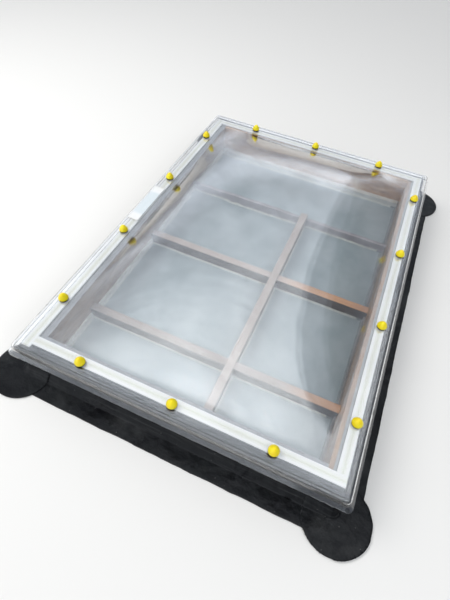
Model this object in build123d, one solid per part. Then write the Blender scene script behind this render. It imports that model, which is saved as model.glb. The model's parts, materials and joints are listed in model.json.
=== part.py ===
# Fixed double-skin dome rooflight, screwed down on a timber kerb that is dressed with roofing membrane.
# Timber glazing bars with obscured panes close the foot of the kerb.
# Millimetres, +Z up. The origin is at the middle of the underside, the long side runs along Y.
import math
import os

from build123d import *

# Clear opening inside the kerb's lining
opening_width = 1000.0
opening_length = 1500.0

# Kerb
kerb_height = 160.0
lining_thickness = 15.0
board_thickness = 50.0
board_arris = 5.0
kerb_screw_diameter = 5.0
kerb_screw_length = 110.0
kerb_screw_head = 10.0
kerb_screw_edge = 40.0

# Roofing membrane over the kerb
membrane_thickness = 3.0
cant_size = 30.0
membrane_bend = 12.0
foot_width = 90.0
corner_patch_radius = 110.0
corner_patch_offset = 24.0
corner_patch_drop = 10.0

# Foam sealing tape under the flange
tape_width = 34.0
tape_thickness = 6.0
tape_offset_x = 2.0
tape_offset_y = 9.0
tape_edge_round = 1.5
tape_groove_width = 2.4
tape_groove_depth = 1.2
tape_tab = 13.0

# Screw rows, measured outward from the opening
fixing_margin_x = 44.0
fixing_margin_y = 40.0
long_pitch = 400.0
long_count = 4
short_pitch = 337.0
short_count = 3

# Outer skin
outer_sheet = 3.0
outer_crown_sheet = 2.2
outer_rise = 175.0
rim_margin_x = 42.0
rim_margin_y = 47.0
rim_corner = 16.0
corner_growth = 0.2
rim_bend = 11.0
downturn_depth = 24.0
downturn_spread = 2.0
lip_spread = 12.0
lip_drop = 12.0
lip_bend = 7.0
rib_count = 4
rib_first = 14.0
rib_pitch = 4.5
rib_base = 1.8
rib_top = 0.8
rib_height = 0.7
rib_corner = 32.0
rib_clearance = 0.5

# Inner skin
inner_sheet = 2.5
inner_crown_sheet = 1.9
inner_rise = 148.0
inner_edge_setback = 14.0

# Blown form shared by both skins
dome_margin = 5.0
skin_nesting = 8.0
seat_gap = 0.2
base_blend = 16.0
width_fullness = 0.10
length_fullness = 0.20

# Fixings
screw_diameter = 6.0
screw_length = 72.0
screw_tip = 8.0
screw_head_across = 10.0
screw_head_height = 5.0
skin_hole = 10.0
seal_washer_diameter = 34.0
seal_washer_thickness = 6.0
steel_washer_diameter = 22.0
steel_washer_thickness = 1.5
cap_diameter = 36.0
cap_height = 25.0
cap_wall = 1.8
cap_rim_height = 3.0
cap_shoulder = 0.80
cap_tip = 0.28
cap_socket_wall = 2.0
cap_socket_gap = 0.5

# Timber grid at the kerb's foot
side_sill_width = 6.0
end_sill_width = 25.0
sill_shelf = 12.0
sill_height = 40.0
shelf_thickness = 8.0
bar_width = 32.0
bar_rebate = 10.0
cross_bar_height = 67.0
long_bar_height = 74.0
bar_lap_height = 35.0
bar_chamfer = 1.5
long_bar_x = 92.0
near_bay_depth = 229.0
cross_bar_pitch = 467.0
cross_bar_count = 2
far_bay_depth = 376.0
far_bar_width = 18.0
far_bar_height = 52.0
pane_thickness = 4.0
pane_clearance = 2.0
putty_size = 6.0
putty_crest = 1.5

# Places worked out from the sizes above
half_width = opening_width / 2
half_length = opening_length / 2
board_in_x = half_width + lining_thickness
board_in_y = half_length + lining_thickness
kerb_x = board_in_x + board_thickness
kerb_y = board_in_y + board_thickness
fixing_x = half_width + fixing_margin_x
fixing_y = half_length + fixing_margin_y
tape_in_x = fixing_x - tape_offset_x - tape_width / 2
tape_in_y = fixing_y - tape_offset_y - tape_width / 2
tape_out_x = tape_in_x + tape_width
tape_out_y = tape_in_y + tape_width
tape_base = kerb_height + membrane_thickness
inner_skin_base = tape_base + tape_thickness + seat_gap
outer_skin_base = inner_skin_base + inner_sheet + seat_gap
flange_top = outer_skin_base + outer_sheet
rim_x = fixing_x + rim_margin_x
rim_y = fixing_y + rim_margin_y
dome_x = half_width + dome_margin
dome_y = half_length + dome_margin
membrane_lap = kerb_x - tape_in_x
corner_height = kerb_height - corner_patch_drop
seal_base = flange_top + seat_gap
seal_top = seal_base + seal_washer_thickness
head_seat = seal_top + steel_washer_thickness
pane_top = shelf_thickness + pane_thickness
cross_bar_y = [near_bay_depth - half_length + i * cross_bar_pitch for i in range(cross_bar_count)]
far_bar_y = half_length - far_bay_depth

SAME_LEVEL = 0.001
ON_BASE = (Align.CENTER, Align.CENTER, Align.MIN)
ACROSS = Plane(origin=(0, 0, 0), z_dir=(1, -1, 0))


def block(x, y, z):
    """A square-edged block between pairs of limits."""
    size = [high - low for low, high in (x, y, z)]
    return Pos(x[0], y[0], z[0]) * Box(*size, align=(Align.MIN, Align.MIN, Align.MIN))


def fixing_points():
    """Screw positions in plan: two long rows and two short rows."""
    points = []
    for side in (-1, 1):
        for i in range(long_count):
            points.append((side * fixing_x, (i - (long_count - 1) / 2) * long_pitch))
        for i in range(short_count):
            points.append(((i - (short_count - 1) / 2) * short_pitch, side * fixing_y))
    return points


def drilled(solid, diameter):
    """The solid with a hole for each fixing screw that passes through it."""
    for x, y in fixing_points():
        solid -= Pos(x, y, flange_top) * Cylinder(diameter / 2, 2 * flange_top)
    return solid


def at_each_fixing(shape, z):
    """One copy of a fixing's piece at each screw position."""
    return Compound(children=[Pos(x, y, z) * shape for x, y in fixing_points()])


# The blown form. Its height is a product of two profiles, one across and one along, so that the crown
# is full, the sides run straight down to the flange and the corners stay low. Each profile is a quartic
# in the middle and a parabola over the blend at the base, where it meets the flange level.


def bernstein(powers, low, high):
    """Control heights of a polynomial, given by rising powers, over one stretch."""
    degree = len(powers) - 1
    span = high - low
    shifted = []
    for k in range(degree + 1):
        terms = (powers[m] * math.comb(m, k) * low ** (m - k) for m in range(k, degree + 1))
        shifted.append(sum(terms) * span ** k)
    return [
        sum(math.comb(i, k) / math.comb(degree, k) * shifted[k] for k in range(i + 1))
        for i in range(degree + 1)
    ]


def profile_stretches(half, fullness):
    """The three stretches of one profile: limits in millimetres and control heights of a unit rise."""
    start = 1 - base_blend / half
    slope = 2 * (1 - fullness) * start + 4 * fullness * start ** 3
    body_end = 1 - (1 - fullness) * start ** 2 - fullness * start ** 4
    blend = slope / (2 * (1 - start))
    lift = slope * (1 - start) / 2 - body_end
    unit = 1 / (1 + lift)
    body = [(1 + lift) * unit, 0, -(1 - fullness) * unit, 0, -fullness * unit]
    left = [blend * unit, 2 * blend * unit, blend * unit]
    right = [blend * unit, -2 * blend * unit, blend * unit]
    limits = (-1, -start, start, 1)
    return [
        (limits[i] * half, limits[i + 1] * half, bernstein(powers, limits[i], limits[i + 1]))
        for i, powers in enumerate((left, body, right))
    ]


def blown_faces(half_x, half_y, rise, base):
    """The nine patches of one blown surface that leaves the flange level at its edges."""
    faces = []
    for x_low, x_high, x_heights in profile_stretches(half_x, width_fullness):
        for y_low, y_high, y_heights in profile_stretches(half_y, length_fullness):
            grid = []
            for i, across in enumerate(x_heights):
                x = x_low + (x_high - x_low) * i / (len(x_heights) - 1)
                row = []
                for j, along in enumerate(y_heights):
                    y = y_low + (y_high - y_low) * j / (len(y_heights) - 1)
                    row.append(Vector(x, y, base + rise * across * along))
                grid.append(row)
            faces.append(Face.make_bezier_surface(grid))
    return faces


def edge_faces(half_x, half_y, base, top):
    """Upright faces round the foot of a blown sheet, split where its patches are."""
    faces = []
    x_stops = (-half_x, base_blend - half_x, half_x - base_blend, half_x)
    y_stops = (-half_y, base_blend - half_y, half_y - base_blend, half_y)
    for side in (-1, 1):
        for low, high in zip(x_stops, x_stops[1:]):
            y = side * half_y
            corners = [(low, y, base), (high, y, base), (high, y, top), (low, y, top)]
            faces.append(Face(Wire.make_polygon(corners)))
        for low, high in zip(y_stops, y_stops[1:]):
            x = side * half_x
            corners = [(x, low, base), (x, high, base), (x, high, top), (x, low, top)]
            faces.append(Face(Wire.make_polygon(corners)))
    return faces


def blown_sheet(half_x, half_y, rise, base, sheet, crown_sheet):
    """The domed middle of a skin, thinner at the crown than at the flange."""
    top = base + sheet
    faces = blown_faces(half_x, half_y, rise, top)
    faces += blown_faces(half_x, half_y, rise + sheet - crown_sheet, base)
    faces += edge_faces(half_x, half_y, base, top)
    return Solid(Shell(faces))


def edges_at(shape, height):
    """Edges that lie wholly at one height."""
    return shape.edges().filter_by_position(Axis.Z, height - SAME_LEVEL, height + SAME_LEVEL)


def swept_ring(section, half_x, half_y, corner):
    """Carry a section, drawn in XZ outward from the outline, round a rectangle with rounded corners."""
    straight_y = half_y - corner
    straight_x = half_x - corner
    side = extrude(Pos(half_x, straight_y, 0) * section, 2 * straight_y, dir=(0, -1, 0))
    end = extrude(Pos(half_y, straight_x, 0) * section, 2 * straight_x, dir=(0, -1, 0))
    end = Rot(Z=90) * end
    axis = Axis((straight_x, straight_y, 0), (0, 0, 1))
    turn = revolve(Pos(half_x, straight_y, 0) * section, axis, 90)
    half_ring = side + turn + end + mirror(turn, Plane.YZ)
    return half_ring + Rot(Z=180) * half_ring


def skirt_levels(inward):
    """Depth, spread and corner radius of the skirt's face at its top, its bend and below its lip.

    The face is the sheet's upper one, or the lower one when it is moved inward by the sheet's thickness.
    """
    down_run = downturn_spread / downturn_depth
    lip_run = lip_spread / lip_drop
    down_shift = inward * math.hypot(1, down_run)
    lip_shift = inward * math.hypot(1, lip_run)
    bend = downturn_depth + (lip_shift - down_shift) / (lip_run - down_run)
    below = downturn_depth + 2 * lip_drop
    levels = [
        (inward, down_run * inward - down_shift),
        (bend, down_run * bend - down_shift),
        (below, downturn_spread + 2 * lip_spread - lip_shift),
    ]
    corner = rim_corner - inward
    return [(depth, spread, corner + corner_growth * (spread + inward)) for depth, spread in levels]


def skirt_form(inward):
    """Closed form under one face of the flange, downturn and lip, with its bends rounded."""
    levels = skirt_levels(inward)
    outlines = [
        Pos(0, 0, flange_top - depth) * RectangleRounded(2 * (rim_x + spread), 2 * (rim_y + spread), corner)
        for depth, spread, corner in levels
    ]
    form = loft(outlines, ruled=True)
    rim_height = flange_top - levels[0][0]
    bend_height = flange_top - levels[1][0]
    form = fillet(edges_at(form, rim_height), rim_bend - inward)
    return fillet(edges_at(form, bend_height), lip_bend + inward)


def flange_plate(half_x, half_y, corner, foot_x, foot_y, base, sheet):
    """Flat flange round the foot of a blown sheet."""
    plate = extrude(Pos(0, 0, base) * RectangleRounded(2 * half_x, 2 * half_y, corner), sheet)
    return plate - block((-foot_x, foot_x), (-foot_y, foot_y), (base - sheet, base + 2 * sheet))


def flange_ribs():
    """Fine raised ribs round the outer flange beside its rim, broken where a washer is seated."""
    half_base = rib_base / 2
    half_top = rib_top / 2
    outline = [(-half_base, 0), (half_base, 0), (half_top, rib_height), (-half_top, rib_height)]
    section = Plane.XZ * make_face(Polyline(*outline, close=True))
    insets = [rib_first + i * rib_pitch for i in range(rib_count)]
    seats = at_each_fixing(Cylinder(seal_washer_diameter / 2 + rib_clearance, 2 * rib_height), flange_top)
    rings = [swept_ring(section, rim_x - inset, rim_y - inset, rib_corner - inset) for inset in insets]
    return [Pos(0, 0, flange_top) * ring - seats for ring in rings]


def make_outer_dome():
    """Outer skin: blown dome, ribbed flange, downturned edge and flared lip in one sheet."""
    reach = downturn_spread + lip_spread
    trim_corner = rim_corner + corner_growth * reach
    trim = extrude(RectangleRounded(2 * (rim_x + reach), 2 * (rim_y + reach), trim_corner), flange_top)
    skin = (skirt_form(0) - skirt_form(outer_sheet)) & trim
    skin -= block((-dome_x, dome_x), (-dome_y, dome_y), (kerb_height, flange_top + outer_sheet))
    skin += blown_sheet(dome_x, dome_y, outer_rise, outer_skin_base, outer_sheet, outer_crown_sheet)
    for rib in flange_ribs():
        skin += rib
    return drilled(skin, skin_hole)


def make_inner_dome():
    """Inner skin: a lower dome with a flat flange that lies under the outer one."""
    edge_x = rim_x - inner_edge_setback
    edge_y = rim_y - inner_edge_setback
    corner = rim_corner - inner_edge_setback
    foot_x = dome_x - skin_nesting
    foot_y = dome_y - skin_nesting
    plate = flange_plate(edge_x, edge_y, corner, foot_x, foot_y, inner_skin_base, inner_sheet)
    dome = blown_sheet(foot_x, foot_y, inner_rise, inner_skin_base, inner_sheet, inner_crown_sheet)
    return drilled(plate + dome, skin_hole)


def tape_section():
    """Foam strip across its width: rounded upper edges and a groove along the middle."""
    half = tape_width / 2
    groove = tape_groove_width / 2
    shoulder = tape_thickness - tape_edge_round
    left = RadiusArc((-half, shoulder), (tape_edge_round - half, tape_thickness), tape_edge_round)
    right = RadiusArc((half - tape_edge_round, tape_thickness), (half, shoulder), tape_edge_round)
    top = Polyline(
        left @ 1,
        (-groove, tape_thickness),
        (0, tape_thickness - tape_groove_depth),
        (groove, tape_thickness),
        right @ 0,
    )
    base = Polyline(right @ 1, (half, 0), (-half, 0), left @ 0)
    return Plane.XZ * make_face([left, top, right, base])


def tape_strip(start, end, centre):
    """One strip of tape along Y, from start to end, with its middle at the given X."""
    return extrude(Pos(centre, end, tape_base) * tape_section(), end - start, dir=(0, -1, 0))


def make_tapes():
    """Four strips. The left one runs past the near one and ends in a square tab."""
    centre_x = tape_in_x + tape_width / 2
    centre_y = tape_in_y + tape_width / 2
    turn = Rot(Z=90)
    strips = {
        "sealing_tape_left": tape_strip(-tape_out_y - tape_tab, tape_out_y, -centre_x),
        "sealing_tape_right": tape_strip(-tape_in_y, tape_out_y, centre_x),
        "sealing_tape_far": turn * tape_strip(-tape_in_x, tape_in_x, centre_y),
        "sealing_tape_near": turn * tape_strip(-tape_out_x, tape_in_x, -centre_y),
    }
    return {name: drilled(strip, screw_diameter) for name, strip in strips.items()}


def hexagon(height):
    """Hexagonal block of the screw head's size, standing on height 0."""
    return extrude(RegularPolygon(screw_head_across / math.sqrt(3), 6), height)


def make_screw():
    """Hexagon-headed wood screw. The seat of its head is at height 0."""
    shank = screw_tip - screw_length
    radius = screw_diameter / 2
    outline = Polyline((0, 0), (radius, 0), (radius, shank), (0, -screw_length), close=True)
    body = revolve(Plane.XZ * make_face(outline), Axis.Z)
    return body + hexagon(screw_head_height)


def cap_form(radius, height):
    """A rounded cone on a short upright rim."""
    slope = Bezier(
        (radius, cap_rim_height),
        (radius * cap_shoulder, cap_rim_height + (height - cap_rim_height) / 2),
        (radius * cap_tip, height),
        (0, height),
    )
    foot = Polyline((0, height), (0, 0), (radius, 0), (radius, cap_rim_height))
    return revolve(Plane.XZ * make_face([slope, foot]), Axis.Z)


def make_cap():
    """Push-on cap, hollow, with a socket that grips the screw's head. Its rim is at height 0."""
    inner = cap_form(cap_diameter / 2 - cap_wall, cap_height - cap_wall)
    socket_radius = screw_head_across / math.sqrt(3) + cap_socket_wall
    socket_foot = steel_washer_thickness + cap_socket_gap
    socket = Pos(0, 0, socket_foot) * Cylinder(socket_radius, cap_height, align=ON_BASE)
    head_room = hexagon(steel_washer_thickness + screw_head_height)
    core = Cylinder(screw_head_across / 2 - cap_wall, cap_height - 2 * cap_wall, align=ON_BASE)
    return cap_form(cap_diameter / 2, cap_height) - (inner - (socket - head_room - core))


def washer(diameter, thickness):
    """Flat ring round the screw."""
    ring = Cylinder(diameter / 2, thickness, align=ON_BASE)
    return ring - Cylinder(screw_diameter / 2, thickness, align=ON_BASE)


def make_fixings():
    """The pieces at each screw: seal, steel washer, screw and cap."""
    return {
        "sealing_washers": at_each_fixing(washer(seal_washer_diameter, seal_washer_thickness), seal_base),
        "steel_washers": at_each_fixing(washer(steel_washer_diameter, steel_washer_thickness), seal_top),
        "fixing_screws": at_each_fixing(make_screw(), head_seat),
        "screw_caps": at_each_fixing(make_cap(), seal_top),
    }


def make_kerb_screws():
    """Countersunk screws through the long boards into the ends of the short ones, two at each corner."""
    head = kerb_screw_head / 2
    radius = kerb_screw_diameter / 2
    outline = Polyline(
        (0, 0),
        (head, 0),
        (radius, -head),
        (radius, head - kerb_screw_length),
        (0, -kerb_screw_length),
        close=True,
    )
    screw = Rot(Y=90) * revolve(Plane.XZ * make_face(outline), Axis.Z)
    right = [
        Pos(kerb_x, side * (board_in_y + board_thickness / 2), height) * screw
        for side in (-1, 1)
        for height in (kerb_screw_edge, kerb_height - kerb_screw_edge)
    ]
    return Compound(children=right + [mirror(one, Plane.YZ) for one in right])


def make_kerb(fixing_screws, kerb_screws):
    """Four boards on edge, the long ones covering the ends of the short ones."""
    height = (0, kerb_height)
    long_board = block((board_in_x, kerb_x), (-kerb_y, kerb_y), height)
    right = fillet(edges_at(long_board, kerb_height).sort_by(Axis.X)[1:], board_arris)
    short_board = block((-board_in_x, board_in_x), (board_in_y, kerb_y), height)
    far = fillet(edges_at(short_board, kerb_height).sort_by(Axis.Y)[-1], board_arris)
    boards = {
        "kerb_board_right": right,
        "kerb_board_left": mirror(right, Plane.YZ),
        "kerb_board_far": far,
        "kerb_board_near": mirror(far, Plane.XZ),
    }
    for name in boards:
        for screw in fixing_screws.solids() + kerb_screws.solids():
            boards[name] -= screw
    return boards


def make_lining():
    """Four brown boards that face the inside of the kerb."""
    height = (0, kerb_height)
    right = block((half_width, board_in_x), (-board_in_y, board_in_y), height)
    far = block((-half_width, half_width), (half_length, board_in_y), height)
    return {
        "lining_board_right": right,
        "lining_board_left": mirror(right, Plane.YZ),
        "lining_board_far": far,
        "lining_board_near": mirror(far, Plane.XZ),
    }


def dressed_points(distance, reach):
    """Face of a dressed sheet at a distance from the kerb, from the foot's edge to above the cant strip.

    It turns by half a right angle at each end of the cant strip, so its corners move by a quarter turn's
    half tangent.
    """
    step = distance * math.tan(math.radians(45 / 2))
    return [(reach, distance), (cant_size + step, distance), (distance, cant_size + step)]


def dressed_section(inside, outside, reach, top):
    """Section of the membrane between two distances from the kerb, ending at a height on its face."""
    bends = [membrane_bend - inside, membrane_bend - inside]
    inner = FilletPolyline(*dressed_points(inside, reach), (inside, top), radius=bends)
    bends = [membrane_bend - outside, membrane_bend - outside]
    outer = FilletPolyline(*dressed_points(outside, reach), (outside, top), radius=bends)
    ends = [Line(inner @ 0, outer @ 0), Line(inner @ 1, outer @ 1)]
    return Plane.XZ * make_face([inner, outer] + ends)


def lapped_section():
    """Section of a side strip of membrane, from the foot's edge up and over the top of the kerb."""
    sheet = membrane_thickness
    bends = [membrane_bend, membrane_bend, board_arris]
    over = [(0, kerb_height), (-membrane_lap, kerb_height)]
    inner = FilletPolyline(*dressed_points(0, foot_width), *over, radius=bends)
    bends = [membrane_bend - sheet, membrane_bend - sheet, board_arris + sheet]
    over = [(sheet, kerb_height + sheet), (-membrane_lap, kerb_height + sheet)]
    outer = FilletPolyline(*dressed_points(sheet, foot_width), *over, radius=bends)
    ends = [Line(inner @ 0, outer @ 0), Line(inner @ 1, outer @ 1)]
    return Plane.XZ * make_face([inner, outer] + ends)


def along_side(section, offset, half_length_of_side):
    """A section carried along the right-hand side of the kerb."""
    placed = Pos(offset, half_length_of_side, 0) * section
    return extrude(placed, 2 * half_length_of_side, dir=(0, -1, 0))


def make_corner_patch():
    """Round patch moulded over a corner of the kerb, lapped over both side strips and level with the roof."""
    sheet = membrane_thickness
    reach = corner_patch_offset + corner_patch_radius
    lap = extrude(dressed_section(sheet, 2 * sheet, reach, corner_height), reach, dir=(0, -1, 0))
    lap += block((foot_width, reach), (-reach, 0), (0, sheet))
    turn = extrude(Rectangle(reach, reach, align=(Align.MIN, Align.MIN)), 2 * sheet)
    turn += revolve(dressed_section(0, 2 * sheet, foot_width, corner_height), Axis.Z, 90)
    disc = Cylinder(corner_patch_radius, 2 * corner_height)
    return (turn + lap + mirror(lap, ACROSS)) & (Pos(corner_patch_offset, corner_patch_offset, 0) * disc)


def make_membrane():
    """Side strips dressed up the kerb, and round corner patches lapped over them."""
    right = along_side(lapped_section(), kerb_x, kerb_y)
    left = mirror(right, Plane.YZ)
    far = Rot(Z=90) * along_side(lapped_section(), kerb_y, kerb_x)
    for side in (-1, 1):
        beside = sorted((side * tape_in_x, side * kerb_x))
        far -= block(beside, (tape_in_y, kerb_y), (cant_size, flange_top))
    right_patch = Pos(kerb_x, kerb_y, 0) * make_corner_patch()
    left_patch = mirror(right_patch, Plane.YZ)
    half_turn = Rot(Z=180)
    return {
        "membrane_right": drilled(right, screw_diameter),
        "membrane_left": drilled(left, screw_diameter),
        "membrane_far": drilled(far, screw_diameter),
        "membrane_near": drilled(mirror(far, Plane.XZ), screw_diameter),
        "membrane_corner_far_right": right_patch,
        "membrane_corner_far_left": left_patch,
        "membrane_corner_near_right": half_turn * left_patch,
        "membrane_corner_near_left": half_turn * right_patch,
    }


def make_cant_strips():
    """Triangular timber strips that ease the membrane's bend at the kerb's foot."""
    section = Plane.XZ * make_face(Polyline((0, 0), (cant_size, 0), (0, cant_size), close=True))
    right = along_side(section, kerb_x, kerb_y)
    far = Rot(Z=90) * along_side(section, kerb_y, kerb_x)
    return {
        "cant_strip_right": right,
        "cant_strip_left": mirror(right, Plane.YZ),
        "cant_strip_far": far,
        "cant_strip_near": mirror(far, Plane.XZ),
    }


def sill_section(width):
    """Section of a rebated member of the given width, with its back against the lining."""
    toe = -width - sill_shelf
    outline = Polyline(
        (0, 0),
        (toe, 0),
        (toe, shelf_thickness),
        (-width, shelf_thickness),
        (-width, sill_height),
        (0, sill_height),
        close=True,
    )
    return Plane.XZ * make_face(outline)


def make_sills():
    """Pale members along the foot of the lining, wider at the ends. The panes lie on their shelf."""
    right = along_side(sill_section(side_sill_width), half_width, half_length)
    left = mirror(right, Plane.YZ)
    far = Rot(Z=90) * along_side(sill_section(end_sill_width), half_length, half_width) - right - left
    return {
        "sill_right": right,
        "sill_left": left,
        "sill_far": far,
        "sill_near": mirror(far, Plane.XZ),
    }


def bar(width, height, start, end):
    """Glazing bar along Y with a rebate for the panes on each side and eased upper edges."""
    half = width / 2
    foot = half + bar_rebate
    eased = half - bar_chamfer
    shelf = [(foot, 0), (foot, shelf_thickness), (half, shelf_thickness)]
    right = shelf + [(half, height - bar_chamfer), (eased, height)]
    left = [(-x, z) for x, z in reversed(right)]
    section = Plane.XZ * make_face(Polyline(*right, *left, close=True))
    return extrude(Pos(0, end, 0) * section, end - start, dir=(0, -1, 0))


def make_bars(sills):
    """One long bar halved over three cross bars. Their ends are cut to sit over the sills."""
    far_edge = far_bar_y + far_bar_width / 2
    long_bar = Pos(long_bar_x, 0, 0) * bar(bar_width, long_bar_height, -half_length, far_edge)
    across = bar(bar_width, cross_bar_height, -half_width, half_width)
    crossings = [Pos(0, y, 0) * Rot(Z=90) * across for y in cross_bar_y]
    far_bar = bar(far_bar_width, far_bar_height, -half_width, half_width)
    crossings.append(Pos(0, far_bar_y, 0) * Rot(Z=90) * far_bar)
    lower = block((-half_width, half_width), (-half_length, half_length), (0, bar_lap_height))
    upper_long = long_bar - lower
    for crossing in crossings:
        long_bar -= crossing & lower
    bars = {"long_bar": long_bar}
    for i, crossing in enumerate(crossings):
        bars[f"cross_bar_{i + 1}"] = crossing - upper_long
    for name in bars:
        for sill in sills.values():
            bars[name] -= sill
    return bars


def glazing_bays():
    """Limits in X and Y of each glazed bay, from bar face to bar face."""
    edge_x = half_width - side_sill_width
    edge_y = half_length - end_sill_width
    half_bar = bar_width / 2
    columns = [(-edge_x, long_bar_x - half_bar), (long_bar_x + half_bar, edge_x)]
    stops = [-edge_y]
    for y in cross_bar_y:
        stops += [y - half_bar, y + half_bar]
    stops += [far_bar_y - far_bar_width / 2, far_bar_y + far_bar_width / 2, edge_y]
    rows = list(zip(stops[::2], stops[1::2]))
    bays = [(column, row) for row in rows[:-1] for column in columns]
    return bays + [((-edge_x, edge_x), rows[-1])]


def inset(limits, amount):
    """A pair of limits drawn in at both ends."""
    return (limits[0] + amount, limits[1] - amount)


def putty_ring(x, y):
    """Sloped bead of putty round the edge of a pane."""
    crest = pane_top + putty_size
    centre = ((x[0] + x[1]) / 2, (y[0] + y[1]) / 2)
    size = (x[1] - x[0], y[1] - y[0])
    low = Pos(*centre, pane_top) * Rectangle(size[0] - 2 * putty_size, size[1] - 2 * putty_size)
    high = Pos(*centre, crest) * Rectangle(size[0] - 2 * putty_crest, size[1] - 2 * putty_crest)
    return block(x, y, (pane_top, crest)) - loft([low, high])


def make_panes():
    """Obscured panes in their rebates, each with its ring of putty."""
    pieces = {}
    for i, (x, y) in enumerate(glazing_bays()):
        across = inset(x, pane_clearance)
        along = inset(y, pane_clearance)
        pieces[f"pane_{i + 1}"] = block(across, along, (shelf_thickness, pane_top))
        pieces[f"putty_{i + 1}"] = putty_ring(x, y)
    return pieces


def make_parts():
    """Every piece of the rooflight by name."""
    fixings = make_fixings()
    kerb_screws = make_kerb_screws()
    sills = make_sills()
    return {
        "outer_dome": make_outer_dome(),
        "inner_dome": make_inner_dome(),
        **make_tapes(),
        **fixings,
        "kerb_screws": kerb_screws,
        **make_kerb(fixings["fixing_screws"], kerb_screws),
        **make_lining(),
        **make_membrane(),
        **make_cant_strips(),
        **sills,
        **make_bars(sills),
        **make_panes(),
    }


if __name__ == "__main__":
    os.makedirs("parts", exist_ok=True)
    for name, shape in make_parts().items():
        export_step(shape, f"parts/{name}.step")
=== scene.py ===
# Fixed double-skin dome rooflight on its timber kerb, in a plain pale studio.
# Metres, +Z up, in the part's own frame: the long side runs along Y and the kerb's foot is at height 0.
import json
import math

import bmesh
import bpy
from mathutils import Matrix, Vector, noise

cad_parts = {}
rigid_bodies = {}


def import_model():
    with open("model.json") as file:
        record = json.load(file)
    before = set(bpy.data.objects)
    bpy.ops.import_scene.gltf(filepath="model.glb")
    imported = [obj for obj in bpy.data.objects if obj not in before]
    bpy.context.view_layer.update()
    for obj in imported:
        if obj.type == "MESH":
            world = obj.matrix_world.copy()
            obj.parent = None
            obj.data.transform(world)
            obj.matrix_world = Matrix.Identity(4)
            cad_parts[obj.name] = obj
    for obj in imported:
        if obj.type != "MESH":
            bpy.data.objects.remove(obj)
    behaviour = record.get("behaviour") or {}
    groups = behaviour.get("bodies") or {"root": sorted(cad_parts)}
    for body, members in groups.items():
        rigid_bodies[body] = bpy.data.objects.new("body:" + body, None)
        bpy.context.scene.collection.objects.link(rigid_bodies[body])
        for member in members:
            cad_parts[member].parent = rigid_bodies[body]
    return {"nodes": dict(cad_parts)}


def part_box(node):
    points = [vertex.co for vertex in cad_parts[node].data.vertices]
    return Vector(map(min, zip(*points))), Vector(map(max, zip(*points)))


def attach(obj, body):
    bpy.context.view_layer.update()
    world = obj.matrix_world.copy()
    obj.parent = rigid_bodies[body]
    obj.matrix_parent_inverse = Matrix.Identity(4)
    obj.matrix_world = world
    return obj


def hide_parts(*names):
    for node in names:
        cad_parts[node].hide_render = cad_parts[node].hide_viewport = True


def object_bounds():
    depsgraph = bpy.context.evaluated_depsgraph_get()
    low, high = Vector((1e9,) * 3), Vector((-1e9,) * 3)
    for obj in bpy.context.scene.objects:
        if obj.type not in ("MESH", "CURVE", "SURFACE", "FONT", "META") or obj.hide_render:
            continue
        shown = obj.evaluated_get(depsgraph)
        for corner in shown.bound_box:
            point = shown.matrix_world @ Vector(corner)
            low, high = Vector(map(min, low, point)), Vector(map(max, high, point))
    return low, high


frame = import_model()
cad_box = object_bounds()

NODES = frame["nodes"]

# Camera, as worked out from the photograph
CAMERA_PLACE = (0.2946, -1.2302, 1.4095)
CAMERA_AZIMUTH = 19.386
CAMERA_ELEVATION = 52.704
CAMERA_ROLL = 5.714
CAMERA_LENS = 25.01
SENSOR_SIZE = 36.0

# Levels: just under the kerb's top edge, and from the flange up to where the dome has left it
KERB_TOP = 0.159
FLANGE_LEVEL = (0.176, 0.200)

# Middle lines of the sealing tape, across and along, and half its width
TAPE_X = 0.542
TAPE_Y = 0.781
TAPE_HALF = 0.017

# Clear skins: their own tint, and the tint of the light that falls through them
SKIN_TINT = (0.992, 0.992, 0.992)
SKIN_SHADOW_TINT = (0.925, 0.93, 0.935)

# Glazing bars: the depth of the top above the painted shade on their flanks, and the length over which the
# painted grey reflection turns to brown
BAR_TOP_DEPTH = 0.002
BROWNING_LENGTH = 0.20

# From here to the right the putty lies in the kerb's shade
SHADED_PUTTY_X = 0.470

# Grey top edges of the kerb and of two linings
KERB_EDGE_GREY = (0.30, 0.31, 0.31)
LINING_EDGE_GREY = (0.24, 0.24, 0.25)

# Added to a coordinate before a ramp, which reads values from 0 to 1 only
RAMP_MIDDLE = 0.5

# Stage and even light
FLOOR_RADIUS = 14.0
FLOOR_LEVEL = -0.0005
FLOOR_COLOUR = (0.86, 0.86, 0.85)
BACKDROP_COLOUR = (0.66, 0.665, 0.67)
AMBIENT_COLOUR = (0.97, 0.98, 1.0)
AMBIENT_STRENGTH = 0.62

# Lamps: name, place, size, power and colour
LAMPS = (
    ("key", (-2.6, -0.6, 3.4), 2.4, 95.0, (1.0, 0.985, 0.96)),
    ("fill", (2.4, -2.0, 3.2), 2.6, 35.0, (0.96, 0.98, 1.0)),
)

# Mirrored sky: its strength, what it gains towards the back and loses to the left, and its two tints
SKY_STRENGTH = 3.5
SKY_BEHIND_GAIN = 2.4
SKY_LEFT_LOSS = 1.3
SKY_BLUE = (0.76, 0.85, 1.0)
SKY_WHITE = (0.90, 0.95, 1.0)

# Mirrored walls on the right: lean, turn and place of their edges, and the sky's share past them
WALL_SLOPE = 0.475
WALL_TURN = 0.044
WALL_SHIFT = 0.48
WALL_LEVEL = 0.40
FAR_WALL_SLOPE = 0.95
FAR_WALL_SHIFT = 0.5
FAR_WALL_LEVEL = 0.18
EDGE_WAVER = 0.04

# Creases of the dressed membrane: size, shape, the height where they have faded out, and their seed
CREASE_HEIGHT = 0.006
CREASE_SCALE = 7.0
BEND_SCALE = 5.0
BEND_REACH = 0.7
ROLLING_SCALE = 11.0
SHARP_SHARE = 0.8
ROLLING_SHARE = 0.2
CREASES_END = 0.158
CREASES_FADE = 0.02
CREASE_SEED = 7

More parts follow.
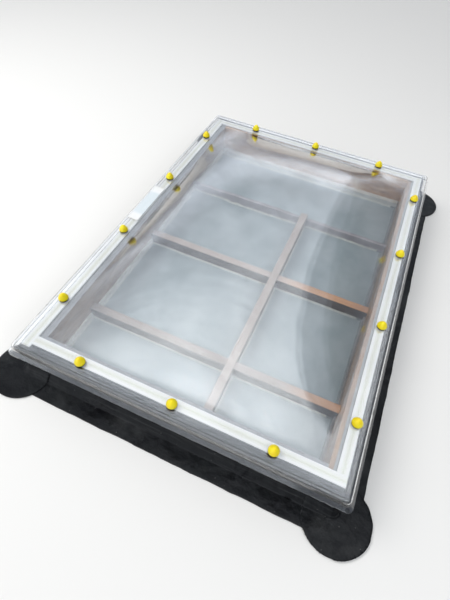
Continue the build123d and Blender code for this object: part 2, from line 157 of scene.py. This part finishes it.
# Cuts of the membrane's mesh, outer faces of the kerb, and the least outward turn of a creased face
SLICE_ALONG = 0.012
SLICE_ACROSS = 0.009
MERGE_DISTANCE = 1e-6
KERB_X = 0.565
KERB_Y = 0.815
KERB_SLACK = 0.001
LEAST_OUTWARD = 0.2

# Blank label on the left flange: place, cells, heights over the ribs and on the flange, and film
LABEL_X = (-0.574, -0.527)
LABEL_Y = (-0.122, 0.117)
LABEL_CELLS = (24, 80)
LABEL_LEVELS = (0.17570, 0.17505)
LABEL_SAG_FROM = -0.556
LABEL_SAG_WIDTH = 0.012
LABEL_WAVES = 0.0003
LABEL_THICKNESS = 0.00015


def clamped(value):
    """A value kept from 0 to 1."""
    return min(max(value, 0.0), 1.0)


def camera_turn(azimuth, elevation, roll):
    """Rotation of a camera that looks down at the part from an azimuth and elevation in degrees."""
    around = math.radians(azimuth)
    up = math.radians(elevation)
    back = Vector((math.sin(around) * math.cos(up), -math.cos(around) * math.cos(up), math.sin(up)))
    right = (-back).cross(Vector((0, 0, 1))).normalized()
    top = right.cross(-back)
    turn = math.radians(roll)
    across = right * math.cos(turn) + top * math.sin(turn)
    above = top * math.cos(turn) - right * math.sin(turn)
    return Matrix((across, above, back)).transposed()


def make_camera():
    """The camera of the photograph."""
    data = bpy.data.cameras.new("camera")
    data.lens = CAMERA_LENS
    data.sensor_width = SENSOR_SIZE
    data.clip_end = 100
    camera = bpy.data.objects.new("camera", data)
    turn = camera_turn(CAMERA_AZIMUTH, CAMERA_ELEVATION, CAMERA_ROLL).to_4x4()
    camera.matrix_world = Matrix.Translation(CAMERA_PLACE) @ turn
    bpy.context.scene.collection.objects.link(camera)
    bpy.context.scene.camera = camera


class Nodes:
    """A small helper that adds and links shader nodes in one tree."""

    def __init__(self, tree):
        self.tree = tree
        tree.nodes.clear()

    def feed(self, socket, value):
        """Link a socket to another, or set it to a value."""
        if isinstance(value, bpy.types.NodeSocket):
            self.tree.links.new(value, socket)
        elif isinstance(value, tuple) and len(value) == 3 and socket.type == "RGBA":
            socket.default_value = (*value, 1)
        else:
            socket.default_value = value

    def add(self, kind, inputs=None, **settings):
        """One node, with its inputs set to values or linked to sockets."""
        node = self.tree.nodes.new(kind)
        for name, value in settings.items():
            setattr(node, name, value)
        for name, value in (inputs or {}).items():
            self.feed(node.inputs[name], value)
        return node

    def ramp(self, factor, stops):
        """Colour output of a ramp with stops of place and colour."""
        node = self.add("ShaderNodeValToRGB", {"Fac": factor})
        elements = node.color_ramp.elements
        while len(elements) < len(stops):
            elements.new(1)
        for element, (place, colour) in zip(elements, stops):
            element.position = place
            element.color = (*colour, 1) if isinstance(colour, tuple) else (colour, colour, colour, 1)
        return node.outputs["Color"]

    def noise(self, vector, scale, detail=3.0, roughness=0.5):
        """Factor of a noise texture."""
        inputs = {"Vector": vector, "Scale": scale, "Detail": detail, "Roughness": roughness}
        return self.add("ShaderNodeTexNoise", inputs).outputs["Fac"]

    def cells(self, scale, feature="F1"):
        """Distance from the middles of a texture of cells."""
        inputs = {"Vector": self.stretched(), "Scale": scale}
        return self.add("ShaderNodeTexVoronoi", inputs, feature=feature).outputs["Distance"]

    def stretched(self, scale=(1, 1, 1)):
        """Object coordinates scaled differently along each axis."""
        place = self.add("ShaderNodeTexCoord").outputs["Object"]
        return self.add("ShaderNodeMapping", {"Vector": place, "Scale": scale}).outputs["Vector"]

    def place(self, axis):
        """Object coordinate along one axis. Along Z it is the height above the kerb's foot."""
        place = self.add("ShaderNodeTexCoord").outputs["Object"]
        return self.add("ShaderNodeSeparateXYZ", {"Vector": place}).outputs[axis]

    def maths(self, operation, *values, clamp=False):
        """Result of a math node."""
        node = self.add("ShaderNodeMath", operation=operation, use_clamp=clamp)
        for socket, value in zip(node.inputs, values):
            self.feed(socket, value)
        return node.outputs[0]

    def mix(self, factor, first, second):
        """Mix of two colours."""
        node = self.add("ShaderNodeMix", data_type="RGBA")
        for socket, value in ((0, factor), (6, first), (7, second)):
            self.feed(node.inputs[socket], value)
        return node.outputs[2]

    def blend(self, factor, first, second):
        """Mix of two shaders."""
        return self.add("ShaderNodeMixShader", {0: factor, 1: first, 2: second}).outputs["Shader"]

    def bump(self, height, distance, strength=1.0, normal=None):
        """Normal output of a bump node."""
        inputs = {"Height": height, "Distance": distance, "Strength": strength}
        if normal is not None:
            inputs["Normal"] = normal
        return self.add("ShaderNodeBump", inputs).outputs["Normal"]


def new_material(name):
    """An empty material, and the helper for its nodes."""
    material = bpy.data.materials.new(name)
    material.use_nodes = True
    return material, Nodes(material.node_tree)


def finished(nodes, inputs):
    """Close a material with one principled shader."""
    shader = nodes.add("ShaderNodeBsdfPrincipled", inputs)
    nodes.add("ShaderNodeOutputMaterial", {"Surface": shader.outputs["BSDF"]})


def clear_skin(name, haze):
    """Clear acrylic sheet with dust all over, and a faint waviness that fades out on the flange."""
    material, nodes = new_material(name)
    low, high = FLANGE_LEVEL
    rise = nodes.maths("DIVIDE", nodes.maths("SUBTRACT", nodes.place("Z"), low), high - low, clamp=True)
    waves = nodes.maths("MULTIPLY", nodes.noise(nodes.stretched((3.0, 2.2, 3.0)), 1.6, 1.0), rise)
    specks = nodes.noise(nodes.stretched(), 240.0, 2.0)
    wavy = nodes.bump(waves, 0.004, 0.35)
    grime = nodes.noise(nodes.stretched((2.0, 1.2, 2.0)), 4.0, 5.0, 0.6)
    rough = nodes.ramp(grime, [(0.42, 0.0), (0.75, haze)])
    shader = nodes.add(
        "ShaderNodeBsdfPrincipled",
        {
            "Base Color": SKIN_TINT,
            "Roughness": rough,
            "IOR": 1.49,
            "Transmission Weight": 1.0,
            "Normal": nodes.bump(specks, 0.00003, 0.25, wavy),
        },
    )
    path = nodes.add("ShaderNodeLightPath")
    lamp_ray = nodes.maths("MAXIMUM", path.outputs["Is Shadow Ray"], path.outputs["Is Diffuse Ray"])
    through = nodes.add("ShaderNodeBsdfTransparent", {"Color": SKIN_SHADOW_TINT})
    both = nodes.blend(lamp_ray, shader.outputs["BSDF"], through.outputs["BSDF"])
    nodes.add("ShaderNodeOutputMaterial", {"Surface": both})
    return material


def foam_tape(across, middle):
    """White closed-cell foam, slightly yellowed, and darker along its middle, where the groove runs: painted
    shade of the groove.
    """
    material, nodes = new_material("foam_tape_" + across.lower())
    pores = nodes.noise(nodes.stretched(), 900.0, 2.0)
    stain = nodes.noise(nodes.stretched((4, 4, 4)), 2.5, 4.0)
    out = nodes.maths("ABSOLUTE", nodes.place(across))
    off_middle = nodes.maths("ABSOLUTE", nodes.maths("SUBTRACT", out, middle))
    edge = nodes.maths("MULTIPLY_ADD", stain, 0.25, nodes.maths("DIVIDE", off_middle, TAPE_HALF))
    # The darker stops towards the middle are painted shade of the groove
    stops = [(0.20, (0.76, 0.76, 0.66)), (0.60, (0.84, 0.84, 0.78)), (0.85, (0.90, 0.91, 0.89))]
    finished(
        nodes,
        {
            "Base Color": nodes.ramp(edge, stops),
            "Roughness": 0.75,
            "Normal": nodes.bump(pores, 0.0003, 0.5),
        },
    )
    return material


def yellow_cap():
    """Bright yellow moulded plastic that glows a little through its thin wall."""
    material, nodes = new_material("yellow_cap")
    mottle = nodes.noise(nodes.stretched(), 60.0, 3.0)
    pits = nodes.noise(nodes.stretched(), 700.0, 2.0)
    finished(
        nodes,
        {
            "Base Color": nodes.ramp(mottle, [(0.3, (0.94, 0.69, 0.0)), (0.7, (0.98, 0.79, 0.005))]),
            "Roughness": 0.34,
            "Subsurface Weight": 0.25,
            "Subsurface Radius": (1.0, 0.35, 0.02),
            "Subsurface Scale": 0.006,
            "Normal": nodes.bump(pits, 0.00015, 0.4),
        },
    )
    return material


def seal_rubber():
    """Black rubber with a matt bloom."""
    material, nodes = new_material("seal_rubber")
    bloom = nodes.noise(nodes.stretched(), 120.0, 4.0)
    colour = nodes.ramp(bloom, [(0.35, 0.012), (0.75, 0.035)])
    finished(nodes, {"Base Color": colour, "Roughness": 0.6, "Normal": nodes.bump(bloom, 0.0002, 0.4)})
    return material


def zinc_steel():
    """Zinc-plated steel with a fine crystalline bloom."""
    material, nodes = new_material("zinc_steel")
    crystals = nodes.cells(350.0)
    colour = nodes.ramp(crystals, [(0.2, (0.52, 0.52, 0.50)), (0.8, (0.70, 0.70, 0.68))])
    rough = nodes.ramp(crystals, [(0.1, 0.28), (0.9, 0.48)])
    finished(nodes, {"Base Color": colour, "Roughness": rough, "Metallic": 1.0})
    return material


def roof_membrane():
    """Black roofing sheet with a dull gloss, dust in its hollows, painted highlights along fine horizontal
    folds, grit and a fine grain.
    """
    material, nodes = new_material("roof_membrane")
    grain = nodes.noise(nodes.stretched(), 420.0, 3.0)
    folds = nodes.noise(nodes.stretched(), 14.0, 4.0, 0.55)
    dust = nodes.noise(nodes.stretched(), 5.0, 6.0, 0.65)
    stops = [(0.35, (0.004, 0.004, 0.005)), (0.62, (0.010, 0.011, 0.012)), (0.8, (0.028, 0.028, 0.028))]
    colour = nodes.ramp(dust, stops)
    # Fine lighter horizontal lines: painted highlights of the sheet's folds
    lines = nodes.noise(nodes.stretched((5.0, 5.0, 190.0)), 1.0, 4.0, 0.65)
    colour = nodes.mix(nodes.ramp(lines, [(0.50, 0.0), (0.72, 0.8)]), colour, (0.032, 0.033, 0.034))
    grit = nodes.ramp(nodes.cells(38.0), [(0.03, 0.8), (0.055, 0.0)])
    colour = nodes.mix(grit, colour, (0.20, 0.20, 0.19))
    rolling = nodes.bump(folds, 0.012, 0.8)
    finished(
        nodes,
        {
            "Base Color": colour,
            "Roughness": nodes.ramp(dust, [(0.3, 0.18), (0.7, 0.42)]),
            "Specular IOR Level": 0.08,
            "Normal": nodes.bump(grain, 0.0004, 0.35, rolling),
        },
    )
    return material


def stretch_along(axis, lengthways, crossways):
    """Scales for a texture that is drawn out along one axis."""
    return tuple(lengthways if name == axis else crossways for name in "XYZ")


def grained(nodes, light, dark, along, scale):
    """Colour of wood grain along one axis, and its fibres."""
    stretch = stretch_along(along, 1.6 * scale, 26.0 * scale)
    fibres = nodes.noise(nodes.stretched(stretch), 4.0, 6.0, 0.6)
    rings = nodes.noise(nodes.stretched(tuple(v * 0.28 for v in stretch)), 3.0, 2.0)
    mixed = nodes.maths("MULTIPLY_ADD", rings, 0.6, nodes.maths("MULTIPLY", fibres, 0.4))
    middle = tuple((a + b) / 2 for a, b in zip(light, dark))
    return nodes.ramp(mixed, [(0.36, dark), (0.5, middle), (0.62, light)]), fibres


def kerb_timber(along):
    """Sawn timber with grain along one axis, and a grey top edge."""
    material, nodes = new_material("kerb_timber_" + along.lower())
    colour, fibres = grained(nodes, (0.60, 0.47, 0.33), (0.40, 0.29, 0.19), along, 0.6)
    on_top = nodes.maths("GREATER_THAN", nodes.place("Z"), KERB_TOP)
    shade = nodes.mix(on_top, colour, KERB_EDGE_GREY)
    finished(nodes, {"Base Color": shade, "Roughness": 0.7, "Normal": nodes.bump(fibres, 0.0008, 0.35)})
    return material


def bar_timber(name, along, top, brown_from, pale):
    """Planed bar: brown to the right of a place, greyed to the left by a painted reflection of the sky
    mirrored in the dome, and painted shade on its flanks below its top face.
    """
    material, nodes = new_material(name)
    brown, fibres = grained(nodes, (0.70, 0.40, 0.22), (0.48, 0.24, 0.12), along, 1.0)
    # Grey of the left part: painted reflection of the sky mirrored in the dome
    low, high = (tuple(v * pale for v in shade) for shade in ((0.34, 0.28, 0.25), (0.50, 0.42, 0.37)))
    grey = nodes.mix(fibres, low, high)
    start = RAMP_MIDDLE + brown_from
    shifted = nodes.maths("ADD", nodes.place("X"), RAMP_MIDDLE)
    clear_of_painted_reflection = nodes.ramp(shifted, [(start, 0.0), (start + BROWNING_LENGTH, 1.0)])
    face = nodes.mix(clear_of_painted_reflection, grey, brown)
    # Dark flanks below the top face: painted shade
    painted_flank_shade = nodes.mix(fibres, (0.05, 0.036, 0.028), (0.13, 0.095, 0.075))
    colour = nodes.mix(nodes.maths("GREATER_THAN", nodes.place("Z"), top), painted_flank_shade, face)
    finished(nodes, {"Base Color": colour, "Roughness": 0.5, "Normal": nodes.bump(fibres, 0.0008, 0.35)})
    return material


def brown_lining(side, along, side_light_gain, top):
    """Varnished brown board with glossy runs and pale scuffs, scaled per side by a gain of painted light and
    shade, and a top edge of its own shade if given.
    """
    material, nodes = new_material("brown_lining_" + side)
    fibres = nodes.noise(nodes.stretched(stretch_along(along, 2.5, 30.0)), 3.0, 6.0, 0.6)
    blotch = nodes.noise(nodes.stretched((3.2, 3.2, 7.0)), 2.6, 5.0, 0.62)
    shades = ((0.3, (0.17, 0.084, 0.036)), (0.55, (0.30, 0.163, 0.072)), (0.75, (0.44, 0.27, 0.13)))
    # Each side's gain makes its board lighter or darker: painted light and shade
    board = nodes.ramp(fibres, [(stop, tuple(v * side_light_gain for v in shade)) for stop, shade in shades])
    scuff = tuple(v * side_light_gain for v in (0.48, 0.37, 0.26))
    colour = nodes.mix(nodes.ramp(blotch, [(0.50, 0.0), (0.72, 0.75)]), board, scuff)
    if top is not None:
        colour = nodes.mix(nodes.maths("GREATER_THAN", nodes.place("Z"), KERB_TOP), colour, top)
    runs = nodes.noise(nodes.stretched((9.0, 9.0, 2.0)), 4.0, 3.0)
    finished(
        nodes,
        {
            "Base Color": colour,
            "Roughness": 0.42,
            "Coat Weight": 0.5,
            "Coat Roughness": 0.12,
            "Normal": nodes.bump(runs, 0.003, 0.5),
        },
    )
    return material


def painted(name, colour, worn):
    """Brushed paint with faint strokes, dirt and wear."""
    material, nodes = new_material(name)
    strokes = nodes.noise(nodes.stretched((12, 12, 90)), 4.0, 4.0)
    dirt = nodes.noise(nodes.stretched((5, 5, 5)), 4.0, 5.0, 0.65)
    shade = nodes.ramp(dirt, [(0.38, worn), (0.62, colour)])
    finished(nodes, {"Base Color": shade, "Roughness": 0.5, "Normal": nodes.bump(strokes, 0.0004, 0.4)})
    return material


def putty():
    """Linseed putty, skinned over and finger-smoothed, and dark where it lies in the kerb's shade."""
    material, nodes = new_material("putty")
    lumps = nodes.noise(nodes.stretched(), 70.0, 4.0)
    pale = nodes.ramp(lumps, [(0.35, (0.46, 0.48, 0.45)), (0.65, (0.60, 0.62, 0.57))])
    shaded = nodes.maths("GREATER_THAN", nodes.place("X"), SHADED_PUTTY_X)
    colour = nodes.mix(shaded, pale, (0.20, 0.22, 0.22))
    finished(nodes, {"Base Color": colour, "Roughness": 0.6, "Normal": nodes.bump(lumps, 0.001, 0.5)})
    return material


def obscured_glass():
    """Obscured glass: a hammered, blue-grey surface that hides what is below it."""
    material, nodes = new_material("obscured_glass")
    hammered = nodes.cells(260.0, "SMOOTH_F1")
    film = nodes.noise(nodes.stretched((1.2, 0.9, 1.2)), 3.6, 6.0, 0.66)
    finished(
        nodes,
        {
            "Base Color": nodes.ramp(film, [(0.34, (0.27, 0.34, 0.36)), (0.66, (0.45, 0.515, 0.535))]),
            "Roughness": 0.38,
            "IOR": 1.5,
            "Transmission Weight": 0.15,
            "Normal": nodes.bump(hammered, 0.0004, 0.15),
        },
    )
    return material


def label_paper():
    """White film with a pale blue middle and a faint grubby bloom."""
    material, nodes = new_material("label_film")
    off_middle = nodes.maths("ABSOLUTE", nodes.maths("ADD", nodes.place("Y"), -sum(LABEL_Y) / 2))
    grime = nodes.noise(nodes.stretched(), 60.0, 5.0, 0.65)
    edge = nodes.maths("MULTIPLY", nodes.maths("MULTIPLY_ADD", grime, 0.02, off_middle), 5.0)
    stops = [(0.40, (0.66, 0.73, 0.77)), (0.48, (0.82, 0.84, 0.85)), (0.7, (0.78, 0.79, 0.78))]
    finished(
        nodes,
        {
            "Base Color": nodes.ramp(edge, stops),
            "Roughness": 0.3,
            "Normal": nodes.bump(grime, 0.0002, 0.3),
        },
    )
    return material


def dress(prefixes, material):
    """Give a material to every node whose name starts with a prefix, or with one of several."""
    for name, node in NODES.items():
        if name.startswith(prefixes):
            for slot in node.material_slots:
                slot.material = material


def dress_nodes():
    """Materials of the carried-over nodes."""
    dress("outer_dome", clear_skin("outer_skin", 0.10))
    dress("inner_dome", clear_skin("inner_skin", 0.06))
    dress(("sealing_tape_left", "sealing_tape_right"), foam_tape("X", TAPE_X))
    dress(("sealing_tape_near", "sealing_tape_far"), foam_tape("Y", TAPE_Y))
    dress("screw_caps", yellow_cap())
    dress("sealing_washers", seal_rubber())
    dress(("steel_washers", "fixing_screws", "kerb_screws"), zinc_steel())
    for along, sides in (("Y", ("left", "right")), ("X", ("near", "far"))):
        raw = kerb_timber(along)
        for side in sides:
            dress((f"kerb_board_{side}", f"cant_strip_{side}"), raw)

    # Side, axis of the grain, gain on the board's shades as painted light and shade of that side, and the
    # top edge's own shade
    linings = (
        ("left", "Y", 0.80, LINING_EDGE_GREY),
        ("right", "Y", 0.95, None),
        ("near", "X", 1.0, LINING_EDGE_GREY),
        ("far", "X", 1.5, None),
    )
    for side, along, side_light_gain, top in linings:
        dress(f"lining_board_{side}", brown_lining(side, along, side_light_gain, top))

    # The right sill is dressed again after the others
    dress("sill", painted("pale_sill", (0.70, 0.72, 0.68), (0.56, 0.56, 0.52)))
    # The right sill is dark: painted shade of the kerb, as on the putty beside it
    dress("sill_right", painted("painted_shade_sill", (0.24, 0.22, 0.20), (0.16, 0.15, 0.14)))

    # Name, axis of the grain, where the brown starts, and the paleness of the greyed part, which is a
    # painted reflection
    bars = (
        ("long_bar", "Y", 0.10, 0.92),
        ("cross_bar_1", "X", 0.28, 0.74),
        ("cross_bar_2", "X", 0.10, 1.05),
    )
    for name, along, brown_from, pale in bars:
        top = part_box(name)[1][2] - BAR_TOP_DEPTH
        dress(name, bar_timber(name + "_timber", along, top, brown_from, pale))
    dress("cross_bar_3", painted("far_bar_paint", (0.40, 0.38, 0.40), (0.30, 0.28, 0.29)))
    dress("putty", putty())
    dress("pane", obscured_glass())


def link(name, mesh):
    """A new piece in the scene."""
    piece = bpy.data.objects.new(name, mesh)
    bpy.context.scene.collection.objects.link(piece)
    return piece


def made_mesh(name, form):
    """A mesh with a form's faces. The form is freed."""
    mesh = bpy.data.meshes.new(name)
    form.to_mesh(mesh)
    form.free()
    return mesh


def smoothed(mesh, angle, material):
    """Smooth a mesh up to an angle in degrees, and give it its material."""
    mesh.shade_smooth()
    mesh.set_sharp_from_angle(angle=math.radians(angle))
    mesh.materials.append(material)


def sliced(form, axis, step):
    """Cut a form by planes across one axis, a step apart."""
    places = [v.co[axis] for v in form.verts]
    normal = [0.0, 0.0, 0.0]
    normal[axis] = 1.0
    for i in range(math.ceil(min(places) / step), math.floor(max(places) / step) + 1):
        point = [0.0, 0.0, 0.0]
        point[axis] = i * step
        parts = form.verts[:] + form.edges[:] + form.faces[:]
        bmesh.ops.bisect_plane(form, geom=parts, dist=MERGE_DISTANCE, plane_co=point, plane_no=normal)


def crease(place):
    """Height of the creases in the membrane at a place: sharp ridges and a gentle roll."""
    bent = place * CREASE_SCALE + noise.noise_vector(place * BEND_SCALE) * BEND_REACH
    ridges = noise.ridged_multi_fractal(bent, 0.9, 2.1, 3, 1.0, 2.0)
    sharp = clamped((ridges - 0.7) / 1.5)
    rolling = 0.5 + 0.5 * noise.noise(place * ROLLING_SCALE)
    fade = clamped((CREASES_END - place.z) / CREASES_FADE)
    return CREASE_HEIGHT * fade * (SHARP_SHARE * sharp ** 1.4 + ROLLING_SHARE * rolling)


def away(place, face):
    """Sideways part of the outward direction: away from the kerb outside its face, none inside."""
    return math.copysign(0.5, place) if abs(place) > face - KERB_SLACK else 0.0


def dressed_sheet(name, material):
    """The membrane of one node, with creases raised on its outer face and kept inside the CAD box."""
    form = bmesh.new()
    form.from_mesh(NODES[name].data)
    bmesh.ops.remove_doubles(form, verts=form.verts[:], dist=MERGE_DISTANCE)
    along = SLICE_ACROSS if "corner" in name else SLICE_ALONG
    for axis, step in ((0, along), (1, along), (2, SLICE_ACROSS)):
        sliced(form, axis, step)
    form.normal_update()
    moves = []
    for corner in form.verts:
        outward = Vector((away(corner.co.x, KERB_X), away(corner.co.y, KERB_Y), 0.8)).normalized()
        if corner.normal.dot(outward) > LEAST_OUTWARD:
            moves.append((corner, corner.normal * crease(corner.co)))
    low, high = cad_box
    for corner, move in moves:
        spot = corner.co + move
        corner.co = [min(max(value, least), most) for value, least, most in zip(spot, low, high)]
    mesh = made_mesh("dressed_" + name, form)
    smoothed(mesh, 50, material)
    sheet = link("dressed_" + name, mesh)
    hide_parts(name)


def label_height(x, y):
    """Height of the label's underside, which lies over the ribs and sags to the flange beside them."""
    over_ribs, on_flange = LABEL_LEVELS
    sag = clamped((x - LABEL_SAG_FROM) / LABEL_SAG_WIDTH)
    sag = sag * sag * (3 - 2 * sag)
    wave = 0.5 + 0.5 * noise.noise(Vector((x * 60, y * 30, 0)))
    return over_ribs + (on_flange - over_ribs) * sag + LABEL_WAVES * wave


def make_label():
    """Blank label, as a closed film of one thickness."""
    across, along = LABEL_CELLS
    form = bmesh.new()
    layers = []
    for lift in (0.0, LABEL_THICKNESS):
        rows = []
        for j in range(along + 1):
            y = LABEL_Y[0] + (LABEL_Y[1] - LABEL_Y[0]) * j / along
            row = []
            for i in range(across + 1):
                x = LABEL_X[0] + (LABEL_X[1] - LABEL_X[0]) * i / across
                row.append(form.verts.new((x, y, label_height(x, y) + lift)))
            rows.append(row)
        layers.append(rows)
    low, high = layers
    for j in range(along):
        for i in range(across):
            form.faces.new((high[j][i], high[j][i + 1], high[j + 1][i + 1], high[j + 1][i]))
            form.faces.new((low[j][i], low[j + 1][i], low[j + 1][i + 1], low[j][i + 1]))
    rim = [(0, i) for i in range(across)] + [(j, across) for j in range(along)]
    rim += [(along, across - i) for i in range(across)] + [(along - j, 0) for j in range(along)]
    for (j0, i0), (j1, i1) in zip(rim, rim[1:] + rim[:1]):
        form.faces.new((low[j0][i0], low[j1][i1], high[j1][i1], high[j0][i0]))
    mesh = made_mesh("blank_label", form)
    smoothed(mesh, 40, label_paper())
    link("blank_label", mesh)


def make_floor():
    """Round pale floor at the kerb's foot."""
    form = bmesh.new()
    bmesh.ops.create_circle(form, cap_ends=True, segments=96, radius=FLOOR_RADIUS)
    mesh = made_mesh("floor", form)
    floor = link("floor", mesh)
    floor.location.z = FLOOR_LEVEL
    material, nodes = new_material("floor")
    finished(nodes, {"Base Color": FLOOR_COLOUR, "Roughness": 0.9, "Specular IOR Level": 0.2})
    mesh.materials.append(material)


def past_edge(nodes, side, shift, level):
    """Full before a wall's edge, and a lower level past it."""
    return nodes.ramp(nodes.maths("ADD", side, shift), [(0.495, 1.0), (0.515, level)])


def mirrored_walls(nodes, x, y, z, uneven):
    """Shades of the wall that the sky ends at on the right, and of a darker one beyond it."""
    side = nodes.maths("MULTIPLY_ADD", z, -WALL_SLOPE, nodes.maths("MULTIPLY_ADD", y, -WALL_TURN, x))
    side = nodes.maths("MULTIPLY_ADD", uneven, EDGE_WAVER, side)
    far_side = nodes.maths("MULTIPLY_ADD", z, -FAR_WALL_SLOPE, x)
    wall = past_edge(nodes, side, WALL_SHIFT, WALL_LEVEL)
    far_wall = past_edge(nodes, far_side, FAR_WALL_SHIFT, FAR_WALL_LEVEL / WALL_LEVEL)
    return wall, far_wall


def sky_shades(nodes, x, y, z, uneven):
    """Shades of the horizon, of a glow low down ahead, and of the dusk behind the camera.

    The dusk lies low, but not at the horizon, and not to the far left.
    """
    horizon = nodes.ramp(nodes.maths("MULTIPLY_ADD", uneven, EDGE_WAVER, z), [(0.0, 0.7), (0.18, 1.0)])
    ahead = nodes.ramp(y, [(0.35, 0.0), (0.70, 1.0)])
    low_ahead = nodes.ramp(z, [(0.02, 0.0), (0.10, 0.8), (0.26, 0.5), (0.40, 0.0)])
    glow = nodes.maths("MULTIPLY_ADD", ahead, low_ahead, 1.0)
    behind = nodes.ramp(nodes.maths("MULTIPLY", y, -1.0), [(0.25, 0.0), (0.50, 1.0)])
    low_behind = nodes.ramp(z, [(0.10, 0.0), (0.28, 0.62), (0.50, 0.62), (0.82, 0.0)])
    off_left = nodes.ramp(nodes.maths("ADD", x, 1.0), [(0.25, 0.0), (0.55, 1.0)])
    dimmed = nodes.maths("MULTIPLY", nodes.maths("MULTIPLY", behind, off_left), low_behind)
    return horizon, glow, nodes.maths("SUBTRACT", 1.0, dimmed)


def mirrored_sky(nodes):
    """Overcast sky for reflections, brightest behind the camera and dimmer to the left."""
    direction = nodes.add("ShaderNodeTexCoord").outputs["Generated"]
    split = nodes.add("ShaderNodeSeparateXYZ", {"Vector": direction})
    x, y, z = (split.outputs[axis] for axis in "XYZ")
    uneven = nodes.noise(direction, 2.2, 3.0)
    drawn_out = nodes.add("ShaderNodeMapping", {"Vector": direction, "Scale": (3.0, 11.0, 2.0)})
    wisps = nodes.noise(drawn_out.outputs["Vector"], 1.5, 4.0)
    clouds = nodes.maths("MULTIPLY_ADD", wisps, 0.6, nodes.maths("MULTIPLY", uneven, 0.4))
    level = nodes.maths("MULTIPLY_ADD", y, -SKY_BEHIND_GAIN, SKY_STRENGTH)
    level = nodes.maths("MULTIPLY_ADD", nodes.maths("MINIMUM", x, 0.0), SKY_LEFT_LOSS, level)
    shades = (
        nodes.ramp(clouds, [(0.36, 0.74), (0.62, 1.09)]),
        *mirrored_walls(nodes, x, y, z, uneven),
        *sky_shades(nodes, x, y, z, uneven),
    )
    for shade in shades:
        level = nodes.maths("MULTIPLY", level, shade)
    colour = nodes.mix(nodes.maths("MULTIPLY", level, 0.3, clamp=True), SKY_BLUE, SKY_WHITE)
    return nodes.add("ShaderNodeBackground", {"Color": colour, "Strength": level})


def make_world():
    """Even soft light, an overcast sky where surfaces mirror it, and a plain backdrop.

    The sky shows to glossy rays, and to rays that have been mirrored before they pass a clear skin.
    The backdrop shows to the camera, also through the clear skins.
    """
    world = bpy.data.worlds.new("studio")
    bpy.context.scene.world = world
    world.use_nodes = True
    nodes = Nodes(world.node_tree)
    sky = mirrored_sky(nodes)
    ambient = nodes.add("ShaderNodeBackground", {"Color": AMBIENT_COLOUR, "Strength": AMBIENT_STRENGTH})
    backdrop = nodes.add("ShaderNodeBackground", {"Color": BACKDROP_COLOUR, "Strength": 1.0})
    path = nodes.add("ShaderNodeLightPath")
    through = path.outputs["Is Transmission Ray"]
    mirrored = nodes.maths("GREATER_THAN", path.outputs["Glossy Depth"], 0.5)
    unmirrored = nodes.maths("SUBTRACT", 1.0, mirrored)
    mirrored_through = nodes.maths("MULTIPLY", through, mirrored)
    plainly_through = nodes.maths("MULTIPLY", through, unmirrored)
    reflected = nodes.maths("MAXIMUM", path.outputs["Is Glossy Ray"], mirrored_through)
    seen = nodes.maths("MAXIMUM", path.outputs["Is Camera Ray"], plainly_through)
    lit = nodes.blend(reflected, ambient.outputs[0], sky.outputs[0])
    shown = nodes.blend(seen, lit, backdrop.outputs[0])
    nodes.add("ShaderNodeOutputWorld", {"Surface": shown})


def make_lamp(name, place, size, power, colour):
    """A large soft lamp aimed at the part, which no surface mirrors."""
    data = bpy.data.lights.new(name, "AREA")
    data.shape = "DISK"
    data.size = size
    data.energy = power
    data.color = colour
    lamp = bpy.data.objects.new(name, data)
    lamp.location = place
    lamp.rotation_euler = (-Vector(place)).to_track_quat("-Z", "Y").to_euler()
    lamp.visible_glossy = False
    lamp.visible_transmission = False
    bpy.context.scene.collection.objects.link(lamp)


make_camera()
dress_nodes()
membrane = roof_membrane()
noise.seed_set(CREASE_SEED)
for node_name in sorted(NODES):
    if node_name.startswith("membrane"):
        dressed_sheet(node_name, membrane)
make_label()
make_floor()
make_world()
for lamp_values in LAMPS:
    make_lamp(*lamp_values)
bpy.context.scene.view_settings.view_transform = "Standard"

for piece in list(bpy.context.scene.objects):
    if piece.type == "MESH" and piece.name not in NODES and not piece.name.startswith("floor"):
        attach(piece, "root")
